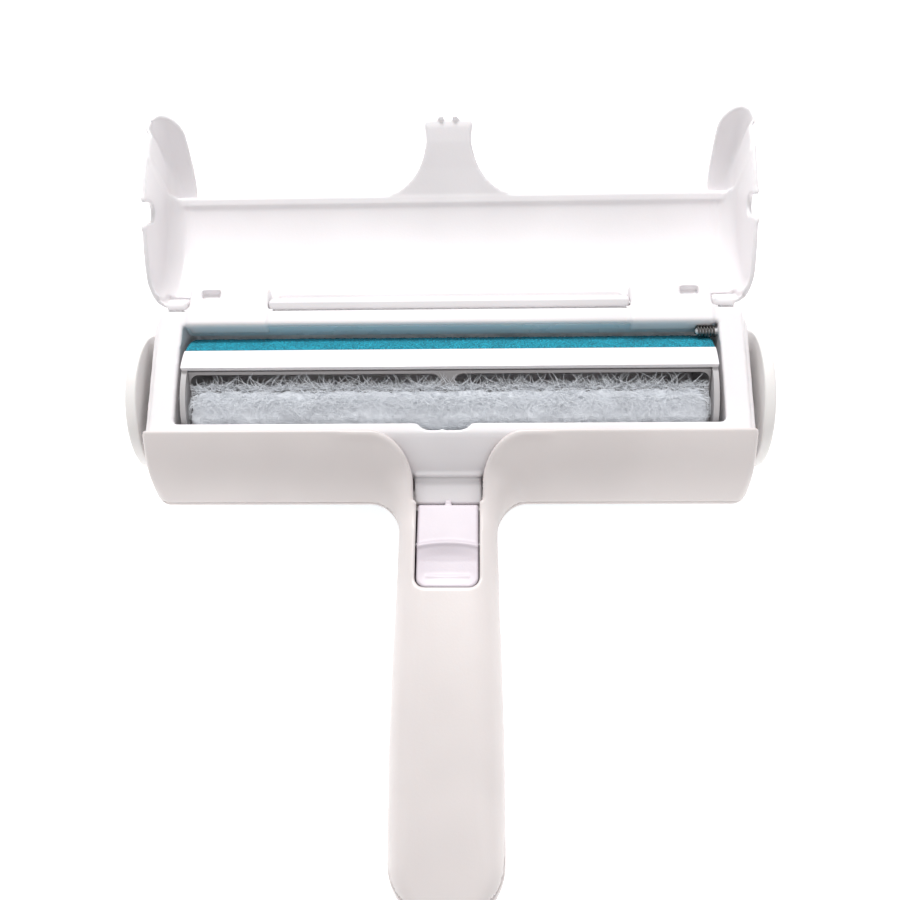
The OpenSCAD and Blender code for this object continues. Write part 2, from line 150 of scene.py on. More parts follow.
def block(x, y, z, xs, ys, zs, r=0.0):
    """A box between limits, with its edges rounded to r."""
    return both(both(slab(x, *xs), slab(y, *ys), r), slab(z, *zs), r)


def ramp(v, low, high):
    """Rises smoothly from 0 at low to 1 at high."""
    t = np.clip((v - low) / (high - low), 0, 1)
    return t * t * (3 - 2 * t)


def swell(v, width):
    """1 where v is 0, falling smoothly to 0 a few widths away."""
    return np.exp(-((v / width) ** 2))


def sample(field, low, step, count, planes=24):
    """Field values on a grid, a few planes at a time."""
    x, y, z = (low[i] + step * np.arange(count[i]) for i in range(3))
    parts = []
    for i in range(0, len(x), planes):
        part = x[i : i + planes, None, None]
        values = field(part, y[None, :, None], z[None, None, :])
        parts.append(np.broadcast_to(values, (len(part), len(y), len(z))))
    return np.concatenate(parts).astype(np.float32)


def slope(field, points):
    """Field values and gradients at points."""
    d = 0.02
    x, y, z = points.T
    return field(x, y, z), np.stack(
        [
            (field(x + d, y, z) - field(x - d, y, z)) / (2 * d),
            (field(x, y + d, z) - field(x, y - d, z)) / (2 * d),
            (field(x, y, z + d) - field(x, y, z - d)) / (2 * d),
        ],
        axis=1,
    )


def settle(field, points, step, rounds=3):
    """Moves points onto the field's surface."""
    for _ in range(rounds):
        value, gradient = slope(field, points)
        size = np.maximum((gradient**2).sum(1), 0.05)
        move = gradient * (value / size)[:, None]
        far = np.maximum(np.linalg.norm(move, axis=1) / (0.6 * step), 1)
        points = points - move / far[:, None]
    return points


def relax(points, faces, share):
    """Moves each point towards the middle of its neighbours."""
    a, b = faces.ravel(), np.roll(faces, -1, axis=1).ravel()
    near = np.bincount(a, minlength=len(points)).astype(float)
    middle = np.stack([np.bincount(a, points[b, i], len(points)) for i in range(3)], axis=1) / near[:, None]
    return points + share * (middle - points)


def net(field, low, high, step):
    """Points and four-sided faces of the closed surface where the field is zero."""
    low = np.array(low, float)
    count = np.ceil((np.array(high, float) - low) / step).astype(int) + 1
    values = sample(field, low, step, count)
    inside = values < 0
    held = np.zeros(count - 1, np.int8)
    for corner in np.ndindex(2, 2, 2):
        held += inside[tuple(slice(c, c + n - 1) for c, n in zip(corner, count))]
    cells = np.argwhere((held > 0) & (held < 8))
    number = np.full(count - 1, -1, np.int64)
    number[tuple(cells.T)] = np.arange(len(cells))
    total = np.zeros((len(cells), 3))
    hits = np.zeros(len(cells))
    faces = []
    for axis in range(3):
        along = np.eye(3, dtype=int)[axis]
        across, up = np.eye(3, dtype=int)[(axis + 1) % 3], np.eye(3, dtype=int)[(axis + 2) % 3]
        for i, j in np.ndindex(2, 2):
            start = cells + i * across + j * up
            a, b = values[tuple(start.T)], values[tuple((start + along).T)]
            cut = (a < 0) != (b < 0)
            share = np.where(cut, a / np.where(cut, a - b, 1), 0)
            total += cut[:, None] * (start + share[:, None] * along)
            hits += cut
        first = tuple(slice(0, n - 1) if k == axis else slice(1, n - 1) for k, n in enumerate(count))
        second = tuple(slice(1, n) if k == axis else slice(1, n - 1) for k, n in enumerate(count))
        edges = np.argwhere(inside[first] != inside[second]) + across + up
        ring = [edges - across - up, edges - up, edges, edges - across]
        quads = np.stack([number[tuple(r.T)] for r in ring], axis=1)
        leaving = inside[tuple(edges.T)]
        faces.append(np.where(leaving[:, None], quads, quads[:, ::-1]))
    points = low + step * total / hits[:, None]
    faces = np.concatenate(faces)
    points = settle(field, points, step)
    for _ in range(2):
        points = settle(field, relax(points, faces, 0.5), step, 2)
    return points, faces


# ---- pieces ----


def new_mesh(name, points, faces):
    """A smooth-shaded object from points in millimetres about the drum axis."""
    mesh = bpy.data.meshes.new(name)
    places = np.asarray(points) * MM + np.array(AXIS)
    mesh.from_pydata(places.tolist(), [], [list(map(int, face)) for face in faces])
    mesh.polygons.foreach_set("use_smooth", np.ones(len(mesh.polygons), bool))
    mesh.update()
    piece = bpy.data.objects.new(name, mesh)
    bpy.context.scene.collection.objects.link(piece)
    return piece


def stand_for(piece, body, slot, material, *nodes):
    """Finishes a piece and puts it in the place of CAD nodes."""
    piece.data.materials.append(material)
    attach(piece, body)
    if nodes:
        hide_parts(*nodes)


def moulded(name, field, low, high, step=None):
    """A moulded part whose surface is where the field is zero."""
    sizes = bpy.context.scene.roller_sizes
    return new_mesh(name, *net(field, low, high, step or sizes.mesh_step))


def turned(profile, side, segments=160):
    """A part turned about the drum axis from (X, radius) points, on one side."""
    angles = np.linspace(0, 2 * math.pi, segments, endpoint=False)
    profile = np.array(profile, float)
    points = [[side * x, r * math.cos(a), r * math.sin(a)] for x, r in profile for a in angles]
    faces = []
    for ring in range(0, (len(profile) - 1) * segments, segments):
        following = ring + segments
        for k in range(segments):
            after = (k + 1) % segments
            quad = [ring + k, ring + after, following + after, following + k]
            faces.append(quad if side > 0 else quad[::-1])
    return points, faces


def dress(node, material, bevel=0.0003):
    """Gives a CAD node its finish and eases its edges."""
    piece = frame["nodes"][node]
    piece.data.materials.clear()
    piece.data.materials.append(material)
    if bevel:
        ease = piece.modifiers.new("eased edges", "BEVEL")
        ease.width = bevel
        ease.segments = 2
        ease.limit_method = "ANGLE"
        ease.angle_limit = math.radians(32)
        ease.harden_normals = True
    return piece


# ---- finishes ----


def shader(name):
    """A new material with its tree and its main shader."""
    material = bpy.data.materials.new(name)
    material.use_nodes = True
    tree = material.node_tree
    return material, tree, tree.nodes["Principled BSDF"]


def add(tree, kind, **sockets):
    """A node with some of its sockets set."""
    made = tree.nodes.new(kind)
    for socket, value in sockets.items():
        made.inputs[socket.replace("_", " ")].default_value = value
    return made


def grain(tree, scale, detail=3.0, stretch=None):
    """Noise in the object's own space, in cycles per metre."""
    place = tree.nodes.new("ShaderNodeTexCoord")
    noise = add(tree, "ShaderNodeTexNoise", Scale=scale, Detail=detail)
    if stretch:
        mapping = add(tree, "ShaderNodeMapping", Scale=stretch)
        tree.links.new(place.outputs["Object"], mapping.inputs["Vector"])
        tree.links.new(mapping.outputs["Vector"], noise.inputs["Vector"])
    else:
        tree.links.new(place.outputs["Object"], noise.inputs["Vector"])
    return noise


def between(tree, source, low, high, stops=(0.35, 0.65)):
    """A colour ramp from low to high, driven by a noise."""
    ramp_node = tree.nodes.new("ShaderNodeValToRGB")
    for element, stop, shade in zip(ramp_node.color_ramp.elements, stops, (low, high)):
        element.position = stop
        element.color = (*shade, 1)
    tree.links.new(source.outputs["Fac"], ramp_node.inputs["Fac"])
    return ramp_node


def relief(tree, bsdf, source, strength, distance):
    """Bump from a noise."""
    bump = add(tree, "ShaderNodeBump", Strength=strength, Distance=distance)
    tree.links.new(source.outputs["Fac"], bump.inputs["Height"])
    tree.links.new(bump.outputs["Normal"], bsdf.inputs["Normal"])


def plastic(name, base, roughness):
    """Moulded plastic: faint flow marks in the colour, uneven gloss and a fine skin."""
    material, tree, bsdf = shader(name)
    dark, light = tuple(c * 0.96 for c in base), tuple(min(1, c * 1.024) for c in base)
    shades = between(tree, grain(tree, 28, 2), dark, light)
    tree.links.new(shades.outputs["Color"], bsdf.inputs["Base Color"])
    gloss = between(tree, grain(tree, 95, 4), (roughness - 0.05,) * 3, (roughness + 0.07,) * 3)
    tree.links.new(gloss.outputs["Color"], bsdf.inputs["Roughness"])
    relief(tree, bsdf, grain(tree, 1400, 2), 0.06, 0.0004)
    bsdf.inputs["IOR"].default_value = 1.5
    bsdf.inputs["Subsurface Weight"].default_value = 0.12
    bsdf.inputs["Subsurface Radius"].default_value = (0.004, 0.003, 0.0025)
    bsdf.inputs["Coat Weight"].default_value = 0.15
    bsdf.inputs["Coat Roughness"].default_value = 0.25
    return material


def metal(name, base, roughness):
    """Drawn or plated steel with fine lengthwise lines."""
    material, tree, bsdf = shader(name)
    lines = grain(tree, 700, 3, (0.08, 1, 1))
    shades = between(tree, lines, tuple(c * 0.75 for c in base), base)
    tree.links.new(shades.outputs["Color"], bsdf.inputs["Base Color"])
    gloss = between(tree, lines, (roughness - 0.07,) * 3, (roughness + 0.1,) * 3)
    tree.links.new(gloss.outputs["Color"], bsdf.inputs["Roughness"])
    bsdf.inputs["Metallic"].default_value = 1.0
    relief(tree, bsdf, lines, 0.12, 0.0001)
    return material


def velour(name, base):
    """Short directional nap: painted light on the tips, painted shade in the gaps, and a soft sheen."""
    material, tree, bsdf = shader(name)
    tufts = grain(tree, 2400, 3)
    # painted light and shade: the colour follows the bump's noise, light on the raised tips and dark in the
    # gaps between them
    dark, light = tuple(c * 0.45 for c in base), tuple(min(1, c * 1.6 + 0.01) for c in base)
    shades = between(tree, tufts, dark, light, (0.36, 0.66))
    middle = shades.color_ramp.elements.new(0.5)
    middle.color = (*base, 1)
    patches = grain(tree, 160, 3)
    tint = between(tree, patches, (0.72, 0.78, 0.8), (1, 1, 1))
    mix = tree.nodes.new("ShaderNodeMix")
    mix.data_type = "RGBA"
    mix.blend_type = "MULTIPLY"
    mix.inputs["Factor"].default_value = 1.0
    tree.links.new(shades.outputs["Color"], mix.inputs["A"])
    tree.links.new(tint.outputs["Color"], mix.inputs["B"])
    tree.links.new(mix.outputs["Result"], bsdf.inputs["Base Color"])
    bsdf.inputs["Roughness"].default_value = 0.85
    bsdf.inputs["Sheen Weight"].default_value = 0.12
    bsdf.inputs["Sheen Roughness"].default_value = 0.35
    bsdf.inputs["Sheen Tint"].default_value = (0.35, 0.85, 0.95, 1)
    relief(tree, bsdf, tufts, 0.9, 0.0006)
    return material


def fur(name, base):
    """Pale animal hair: dry and soft."""
    material, tree, bsdf = shader(name)
    dark, light = tuple(c * 0.97 for c in base), tuple(min(1, c * 1.02) for c in base)
    shades = between(tree, grain(tree, 260, 4), dark, light, (0.3, 0.62))
    tree.links.new(shades.outputs["Color"], bsdf.inputs["Base Color"])
    bsdf.inputs["Roughness"].default_value = 0.7
    bsdf.inputs["Sheen Weight"].default_value = 0.6
    return material


# ---- the roller's own shapes, in millimetres about the drum axis ----

# Pairs named _C are centres in Y and Z, _R are radii and _HALF are half widths along X.

SHOULDER_C, SHOULDER_R, SHOULDER_HALF = (16.4, -25.2), 53.3, 89.9
FLOOR_Z = -9.0
VALLEY_HALF, VALLEY_Y, VALLEY_R = 23.3, -29.5, 13
BACK_C, BACK_R = (-66, -194.5), 200
BELLY_C, BELLY_R, BELLY_LEVEL = (-125, 339), 360, -21.0
GRIP_HALF, GRIP_END_Y, GRIP_END_R = 14.7, -133.7, 16.3
SCREW_Y, BOSS_X, BOSS_Y = (-76, -122), 60, -25.5
BUTTON_HALF, BUTTON_TOP, BUTTON_LOW, BUTTON_PIN = 9.1, -34.3, -60.2, (-46, -3)
WINDOW_HALF, WINDOW_NEAR, WINDOW_FAR = DRUM_HALF + 1.45, -13.6, 17.4
RIM_Z, RIM_RISE = 15.3, 2.9
FRAME_HALF, FRAME_R, FRAME_FAR = 89.5, 22.8, 23.4
HINGE, HINGE_BLOCK = (24.4, 15.7), (54.9, 79.3)
SPRING_C = (15.4, 15.1)
LID_C, LID_R, LID_HALF, LID_FAR = (4.5, -8.0), 32.6, 91.35, 27.2
EAR_C, EAR_R, EAR_T = (-18.0, 46.0), 54.0, 1.35
PAD_IN, PAD_OUT = 18.02, 19.34
HAIR_HALF, HAIR_R, HAIR_JOINTS = 76.6, 18.7, 6


def rim_top(y):
    """Height of the frame's rim at y, which climbs towards the hinge."""
    return RIM_Z + (y - WINDOW_NEAR) * RIM_RISE / (WINDOW_FAR - WINDOW_NEAR)


def grip_top(y):
    """Height of the grip's back at y."""
    return BACK_C[1] + np.sqrt(BACK_R**2 - (y - BACK_C[0]) ** 2)


def grip_bottom(y):
    """Height of the grip's belly at y: an arc, then level towards the end."""
    arc = BELLY_C[1] - np.sqrt(BELLY_R**2 - (np.maximum(y, BELLY_C[0]) - BELLY_C[0]) ** 2)
    return np.where(y < BELLY_C[0], BELLY_LEVEL, arc)


def valley(side, y):
    """Negative where the shoulders are solid, and positive in the valley between them."""
    across, down = np.minimum(side - VALLEY_HALF, 0), np.maximum(y - VALLEY_Y, 0)
    return np.hypot(across, down) - VALLEY_R


def body_outside(x, y, z):
    """The closed outside of shoulders and grip, before anything is cut out."""
    side = np.abs(x)
    bead = 0.38 * swell(-valley(side, y) - 1.5, 0.95) * ramp(-side, -34, -26)
    section = both(round_rod(y, z, SHOULDER_C, SHOULDER_R) - bead, FLOOR_Z - z, 6.5)
    shoulders = both(section, side - SHOULDER_HALF, 1.3 + 3.0 * ramp(-z, -8, 6))
    half = GRIP_HALF + 1.6 * np.clip((-45 - y) / 60, 0, 1)
    plan = np.where(y < GRIP_END_Y, np.hypot(x, y - GRIP_END_Y) - GRIP_END_R, side - half)
    back = round_rod(y, z, BACK_C, BACK_R)
    arc = np.hypot(np.maximum(y, BELLY_C[0]) - BELLY_C[0], z - BELLY_C[1]) - BELLY_R
    belly = np.where(y < BELLY_C[0], BELLY_LEVEL - z, arc)
    soft = np.clip(0.44 * (grip_top(np.maximum(y, -149)) - grip_bottom(y)), 4.5, 8.8)
    grip = both(both(plan, back, soft), belly, soft)
    grip = both(grip, y + 24, 2)
    return either(shoulders, grip, 9.4)


def body_skin(x, y, z):
    """The hollow wall of shoulders and grip, open towards the drum."""
    outside = body_outside(x, y, z)
    skin = both(outside, -outside - bpy.context.scene.roller_sizes.wall, 0.2)
    return without(skin, both(np.hypot(y, z) - 22.95, z - 12.5), 0.3)


def parting(y):
    """Height of the joint line between the handle shells at y."""
    return -4 + np.minimum(y + 45, 0) * 9 / 110


def top_shell(x, y, z):
    """Upper handle shell with the valley and the button's opening."""
    side = np.abs(x)
    opening = both(side - (BUTTON_HALF + 0.3), BUTTON_LOW - 0.35 - y, 3.2)
    opening = both(opening, y + 24)
    cut = either(both(-valley(side, y), -34 - y), opening, 0.6)
    solid = without(body_skin(x, y, z), cut, 0.75)
    return both(solid, parting(y) + 0.1 - z, 0.3)


def bottom_shell(x, y, z):
    """Lower handle shell with sunk holes for the screws."""
    side = np.abs(x)
    solid = body_skin(x, y, z)
    for centre in SCREW_Y:
        floor = float(grip_bottom(np.array(centre)))
        boss = both(post(x, y, (0, centre), 4.6), slab(z, floor + 1, -8.5))
        solid = either(solid, boss, 0.6)
        solid = without(solid, both(post(x, y, (0, centre), 3.2), z - floor - 3), 0.4)
        solid = without(solid, post(x, y, (0, centre), 1.7), 0.2)
    boss = both(post(side, y, (BOSS_X, BOSS_Y), 4.4), slab(z, FLOOR_Z + 1, -6.3))
    solid = either(solid, boss, 0.5)
    solid = without(solid, both(post(side, y, (BOSS_X, BOSS_Y), 2.7), z + 7.8), 0.35)
    solid = without(solid, post(side, y, (BOSS_X, BOSS_Y), 1.5), 0.2)
    return both(solid, z - parting(y) + 0.1, 0.3)


def hinge_blocks(side, y, z):
    """Blocks that carry the lid's pins, each with a small window."""
    nose = np.hypot(np.maximum(y - HINGE[0], 0), z - HINGE[1]) - 6
    section = both(both(nose, 17 - y), slab(z, 12.6, 18.9), 0.9)
    solid = both(section, slab(side, *HINGE_BLOCK), 0.7)
    return without(solid, block(side, y, z, (70, 75.5), (26.1, 29.1), (16.6, 25), 0.3), 0.3)


def frame_hollow(side, y, z):
    """What is hollow under the rim: room for the drum, and a space in each end."""
    radius = np.hypot(y, z)
    upper = both(slab(y, -18.4, 18.4), z - rim_top(y) + 2, 1.0)
    arch = np.minimum(both(upper, -z), both(radius - 21.3, z - 10.7))
    room = both(np.minimum(arch, radius - 19.9), side - WINDOW_HALF, 0.3)
    return np.minimum(room, both(arch, slab(side, WINDOW_HALF + 1.7, 86.4), 0.3))


def window_cut(x, y, z):
    """The window through the rim, with a notch and a nib in its near edge."""
    window = both(slab(y, WINDOW_NEAR, WINDOW_FAR), np.abs(x) - WINDOW_HALF, 0.9)
    nib = 0.5 * swell(x + 1.4, 0.6)
    notch = both(np.abs(x + 0.8) * 0.62 - 5.2 - 0.62 * (y - WINDOW_NEAR), -16.2 - y + nib, 1.1)
    window = either(window, both(notch, y + 12), 1.0)
    return both(window, 5 - z)


def valley_plate(side, y, z):
    """The sloping plate between the shoulders, concentric with their outside."""
    plate = np.abs(round_rod(y, z, SHOULDER_C, SHOULDER_R - 3.2)) - 0.9
    plate = both(both(plate, slab(y, -26.2, -15.9), 0.5), side - 24.4, 0.3)
    return both(plate, 21.5 - np.hypot(y, z))


def valley_shelf(side, y, z):
    """The step and lower slope between the plate and the button."""
    top = np.interp(y, [-34, -27.4, -26.2, -25.0], [-1.5, 1.6, 4.3, 4.3])
    sheet = (np.abs(z - top + 0.9) - 0.9) * 0.85
    return both(both(sheet, slab(y, -33.55, -25.2), 0.35), side - 10.15, 0.2)


def chamber(x, y, z):
    """Chamber frame: arch, rim with its window, end walls and valley floor."""
    side = np.abs(x)
    radius = np.hypot(y, z)
    rim = (z - rim_top(y) + 1.1 * ramp(side, 87.9, 88.4)) * 0.996
    around = np.minimum(radius - FRAME_R, both(slab(y, -17.6, FRAME_FAR), 3 - z))
    solid = both(both(around, y - FRAME_FAR), rim, 1.1)
    solid = both(solid, both(side - FRAME_HALF, y - 23.7, 8), 0.6)
    solid = both(solid, -8.5 - z, 0.4)
    solid = without(solid, frame_hollow(side, y, z), 0.3)
    solid = without(solid, window_cut(x, y, z), 0.7)
    solid = either(solid, hinge_blocks(side, y, z), 0.8)
    beside_block = np.minimum(side - HINGE_BLOCK[0], slab(side, HINGE_BLOCK[1], 96))
    solid = without(solid, both(round_rod(y, z, HINGE, 3.2), beside_block), 0.3)
    solid = either(solid, valley_plate(side, y, z), 0.7)
    solid = np.minimum(solid, valley_shelf(side, y, z))
    peg_length = slab(x, WINDOW_HALF - 6.5, WINDOW_HALF + 0.5)
    return np.minimum(solid, both(round_rod(y, z, SPRING_C, 1.0), peg_length, 0.2))


def tongue(side, y, z):
    """The lid's latch tongue, bent near its tip, with two hooks underneath."""
    bends = [-34, -31.6, -30, -28, -22, -16.2, -14.4]
    top = np.interp(y, bends, [2.7, 3.75, 5.0, 6.6, 12.1, 17.0, 18.3])
    plate = (np.abs(z - top + 1.15) - 1.15) * 0.76
    flank = np.hypot(np.minimum(side - 21.9, 0), np.maximum(y + 31.2, 0))
    plan = 15 - flank - 0.75 * ramp(-y, 28, 33)
    plan = both(plan, both(-34 - y, y + 13.6), 1.6)
    hook = block(side, y, z, (1.3, 3.2), (-34.2, -33.3), (-0.7, 3), 0.3)
    return either(both(plate, plan, 0.65), hook, 0.4)


def lid_panel(side, near, y, z):
    """The curved panel and the ears beside it, cut off level at the near edge."""
    wall = bpy.context.scene.roller_sizes.lid_wall
    panel = round_rod(y, z, LID_C, LID_R)
    outside = both(panel, both(near - LID_HALF, y - LID_FAR, 9), 5.4)
    hollow = both(panel + wall, both(near - LID_HALF + EAR_T, y - LID_FAR + wall, 7.4), 6.6)
    crease = both(side - 84.3, y - 24.2, 7)
    hollow = hollow + 0.42 * swell(crease, 0.5) * ramp(-z, -27, -8)
    hollow = hollow - 0.25 * ramp(crease, 0.3, 1.4) * ramp(-side, -88.5, -86)
    shell = both(both(outside, -hollow, 0.3), -15.4 - y, 0.75)
    groove = both(slab(y, 17.6, 21.2), side - 53.5, 0.9)
    shell = without(shell, both(groove, hollow - 1.15, 0.2), 0.25)
    corner = both(slab(side, 80.4, 88.2), slab(y, 18.3, 24.6), 1.0)
    shell = without(shell, both(corner, hollow - 1.2, 0.2), 0.2)
    block_gap = both(slab(side, HINGE_BLOCK[0] - 0.2, HINGE_BLOCK[1] + 0.2), 18.6 - y, 1.2)
    return without(shell, block_gap, 0.5)


def ear_horn(side, near, y, z):
    """The horn of an ear, which lies over the end of a shoulder."""
    turn = np.hypot(y - SHOULDER_C[0], z - SHOULDER_C[1])
    along = (np.arctan2(SHOULDER_C[0] - y, z - SHOULDER_C[1]) - math.radians(67.2)) * 54.4
    horn = both(turn - 55.25, near - LID_HALF, 5.6)
    horn = both(horn, -both(turn - 53.75, near - LID_HALF + EAR_T, 4.2), 0.2)
    horn = both(horn, both(82.0 + 1.6 * ramp(along, -26, 0) - side, along, 8.0), 0.65)
    horn = both(horn, both(near - LID_HALF, along, 3.5), 0.3)
    return both(horn, y + 13.4, 0.6)


def shut_lid(x, y, z):
    """The lid in its shut pose."""
    side = np.abs(x)
    flare = 2.2 * ramp(np.hypot(y, z), 22.9, 28) * ramp(-y, 11, 22)
    near = side - flare
    solid = either(lid_panel(side, near, y, z), ear_horn(side, near, y, z), 1.0)
    solid = both(solid, round_rod(y, z, EAR_C, EAR_R), 0.75)
    beside_block = np.minimum(side - HINGE_BLOCK[0] + 0.4, slab(side, HINGE_BLOCK[1] + 0.4, 86))
    solid = either(solid, both(round_rod(y, z, HINGE, 2.8), beside_block, 0.4), 0.7)
    solid = either(solid, tongue(side, y, z), 0.8)
    reach = np.hypot(y - HINGE[0], z - HINGE[1])
    angle = np.degrees(np.arctan2(z - HINGE[1], y - HINGE[0])) % 360
    axle_slot = both(np.abs(reach - 29) - 3.0, (205 - angle) * 0.5, 2.8)
    solid = solid - 0.4 * swell(axle_slot - 1.1, 0.8) * ramp(side, 90.3, 90.9)
    return without(solid, both(axle_slot, 87 - side), 0.4)


def open_lid(x, y, z):
    """The lid folded right back about its hinge."""
    return shut_lid(x, 2 * HINGE[0] - y, 2 * HINGE[1] - z)


def release(x, y, z):
    """Release button: a flat upper half, an arched ridge and a shallow dish for the thumb."""
    side = np.abs(x)
    height = np.interp(y, [-60, -52, -47, -34.3], [2.8, 2.0, 2.2, 0.6])
    arc = y + 46.6 + x * x / 70
    dish = 0.75 * ramp(-arc, 0.2, 4) * ramp(y, -60.5, -55) * np.clip(1 - (x / 9.5) ** 2, 0, 1)
    height = height + 0.5 * swell(arc, 0.7) - dish
    rib = 0.14 * swell(y + 56.6, 0.5) * (side < 6.5)
    top = z - height - rib
    plan = both(both(side - BUTTON_HALF, BUTTON_LOW - y, 3.0), y - BUTTON_TOP, 0.9)
    cap = both(both(plan, top, 0.8), -top - 2.4, 0.3)
    skirt = both(both(-plan - 1.5, slab(z, -1.6, 1.0)), both(plan, top, 0.8))
    solid = np.minimum(cap, skirt)
    stem = block(x, y, z, (-9, 9), (-47.5, -44.5), (BUTTON_PIN[1], 1))
    bearing = both(np.minimum(round_rod(y, z, BUTTON_PIN, 2.3), stem), side - 8.9, 0.3)
    solid = either(solid, bearing, 0.4)
    catch = block(x, y, z, (-0.9, 0.9), (-35.4, -32.9), (-1.3, 0.45), 0.35)
    solid = either(solid, catch, 0.3)
    return without(solid, round_rod(y, z, BUTTON_PIN, 1.05))


# ---- the drum's contents ----


def drum_turn():
    """Angle of the drum about X from upright, in radians, read from its pocket rails."""
    low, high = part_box("rail_far")
    other_low, other_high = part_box("rail_near")
    across = (other_low + other_high) / 2 - (low + high) / 2
    return math.atan2(-across.z, -across.y)


def swing(points, angle):
    """Turns points about the X axis."""
    c, s = math.cos(angle), math.sin(angle)
    x, y, z = np.asarray(points, float).T
    return np.stack([x, c * y - s * z, s * y + c * z], axis=1)


def waves(rng, count, low, high):
    """A smooth random height over a plane, from sine waves with wavelengths between low and high."""
    angles = rng.uniform(0, 2 * math.pi, count)
    rates = 2 * math.pi / np.exp(rng.uniform(math.log(low), math.log(high), count))
    phases = rng.uniform(0, 2 * math.pi, count)
    share = 1 / np.sqrt(count / 2)

    def height(u, v):
        total = 0
        for a, k, p in zip(angles, rates, phases):
            total = total + np.sin(k * (u * math.cos(a) + v * math.sin(a)) + p)
        return total * share

    return height


def pad_mesh(side, seed):
    """A fabric pad round the drum with a short nap, on the hinge side for 1 and the near side for -1."""
    nap = bpy.context.scene.roller_sizes.nap
    rng = np.random.default_rng(seed)
    start, end = math.radians(57), math.radians(172.9)
    across, around = 340, 84
    u = np.linspace(-DRUM_HALF, DRUM_HALF, across)
    a = np.linspace(start, end, around)
    uu, aa = np.meshgrid(u, a, indexing="ij")
    height = waves(rng, 14, 1.1, 3.0)(uu, aa * 19.5) * 0.3 + rng.normal(0, 0.5, uu.shape)
    edges = [uu + DRUM_HALF, DRUM_HALF - uu, (aa - start) * 19.9, (end - aa) * 19.9]
    edge = np.minimum.reduce(edges)
    tufts = nap * 0.5 * np.clip(height, -1.6, 1.6) * np.clip(edge / 0.8, 0, 1)
    outer = PAD_OUT + tufts - 0.3 * np.exp(-edge / 0.35)
    inner = np.full(uu.shape, PAD_IN)
    points = [
        np.stack([uu, side * r * np.sin(aa), r * np.cos(aa)], axis=-1).reshape(-1, 3)
        for r in (outer, inner)
    ]
    points = swing(np.concatenate(points), drum_turn())
    number = np.arange(across * around).reshape(across, around)
    corners = [number[:-1, :-1], number[1:, :-1], number[1:, 1:], number[:-1, 1:]]
    quads = np.stack(corners, axis=-1).reshape(-1, 4)
    under = quads[:, ::-1] + across * around
    rim = np.concatenate([number[:, 0], number[-1, 1:], number[-2::-1, -1], number[0, -2:0:-1]])
    after = np.roll(rim, -1)
    sides = np.stack([after, rim, rim + across * around, after + across * around], axis=1)
    faces = np.concatenate([quads, under, sides])
    return points, faces if side < 0 else faces[:, ::-1]


LUMP = [(0.0, 11.6), (5.4, 13.05), (4.0, 14.6), (0.7, 16.3), (-3.6, 17.2), (-6.9, 16.5), (-9.0, 14.2)]


def polygon_field(points, y, z):
    """Distance to a polygon's outline, negative inside."""
    distance, inside = np.inf, np.zeros(np.broadcast(y, z).shape, bool)
    for (y0, z0), (y1, z1) in zip(points, points[1:] + points[:1]):
        ey, ez = y1 - y0, z1 - z0
        t = np.clip(((y - y0) * ey + (z - z0) * ez) / (ey * ey + ez * ez), 0, 1)
        distance = np.minimum(distance, np.hypot(y - y0 - t * ey, z - z0 - t * ez))
        crosses = ((z0 <= z) != (z1 <= z)) & (y < y0 + (z - z0) * ey / (ez if ez else 1e-9))
        inside = inside ^ crosses
    return np.where(inside, -distance, distance)


def hair_lump(x, y, z):
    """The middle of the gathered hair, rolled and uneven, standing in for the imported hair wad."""
    angle = -drum_turn()
    c, s = math.cos(angle), math.sin(angle)
    v, w = c * y - s * z, s * y + c * z
    shape = polygon_field(LUMP, v, w) + 0.5
    ends = np.abs(x) - 76.0 - 0.8 * np.sin(w * 1.3)
    lump = both(shape, ends, 2.0)
    tufts = 0.34 * np.sin(x * 0.61 + 1.9 * np.sin(v * 0.5 + x * 0.13))
    tufts = tufts + 0.25 * np.sin(x * 1.63 + v * 1.4 + 2 * np.sin(w * 0.8 + x * 0.31))
    tufts = tufts + 0.16 * np.sin(x * 3.1 - w * 2.3) * np.sin(v * 2.9 + x * 0.7)
    return lump + 0.42 * tufts + 0.1


